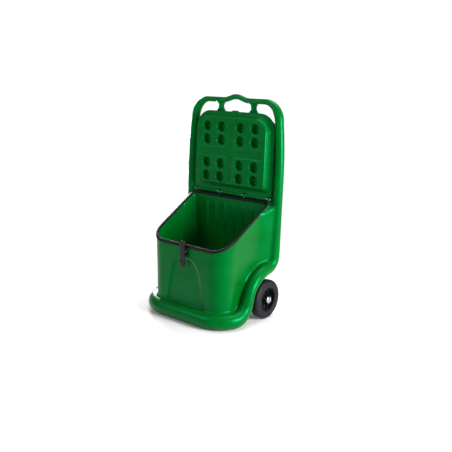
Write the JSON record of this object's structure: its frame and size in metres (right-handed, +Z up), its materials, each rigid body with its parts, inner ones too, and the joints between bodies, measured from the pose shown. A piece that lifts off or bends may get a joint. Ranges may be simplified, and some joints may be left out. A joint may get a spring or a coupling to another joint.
{
  "type": "two-wheeled lidded caddy cart",
  "caption": "Two-wheeled moulded plastic caddy cart with a sloping rubber-edged tub, hinged lid leaning open, spring catch, bumper base and tubular push handle.",
  "frame": {"origin": "on the floor, under the middle of the cart's footprint box", "axes": "+Z up, front with the catch towards -Y, push handle and lid hinge at the back towards +Y, wheel axle along X"},
  "size_m": [0.6448, 0.4853, 1.0978],
  "materials": {
    "moulded_green": "satin",
    "black_plastic": "satin",
    "seal_rubber": "matte",
    "tyre_rubber": "matte",
    "zinc_steel": "satin",
    "chrome_cap": "polished",
    "white_nylon": "matte"
  },
  "bodies": {
    "cart_frame": {"body_moulding": "moulded_green", "rim_seal": "seal_rubber", "lid_hinge_rod": "zinc_steel", "hinge_push_nuts": "zinc_steel", "latch_base": "black_plastic", "latch_pin": "zinc_steel", "latch_screws": "zinc_steel", "axle": "zinc_steel", "axle_saddles": "zinc_steel", "saddle_screws": "zinc_steel", "axle_spacers": "black_plastic", "axle_washers": "zinc_steel", "axle_caps": "chrome_cap"},
    "lid": {"lid": "moulded_green"},
    "latch": {"latch_lever": "black_plastic", "latch_spring": "zinc_steel"},
    "left_wheel": {"left_tyre": "tyre_rubber", "left_wheel_hub": "black_plastic", "left_wheel_bushes": "white_nylon"},
    "right_wheel": {"right_tyre": "tyre_rubber", "right_wheel_hub": "black_plastic", "right_wheel_bushes": "white_nylon"}
  },
  "joints": [
    {"name": "lid_hinge", "type": "hinge", "parent": "cart_frame", "child": "lid", "pos_m": [0, 0.182, 0.5885], "axis": [1, 0, 0], "range_deg": [0, 121.2]},
    {"name": "latch_pivot", "type": "hinge", "parent": "cart_frame", "child": "latch", "pos_m": [0, -0.19745, 0.36218], "axis": [1, 0, 0], "range_deg": [0, 14], "stiffness_Nm_per_rad": 0.3, "springref_deg": -8.59},
    {"name": "left_wheel_spin", "type": "hinge", "parent": "cart_frame", "child": "left_wheel", "pos_m": [-0.291, 0.084, 0.1], "axis": [1, 0, 0], "continuous": true},
    {"name": "right_wheel_spin", "type": "hinge", "parent": "cart_frame", "child": "right_wheel", "pos_m": [0.291, 0.084, 0.1], "axis": [1, 0, 0], "continuous": true}
  ]
}
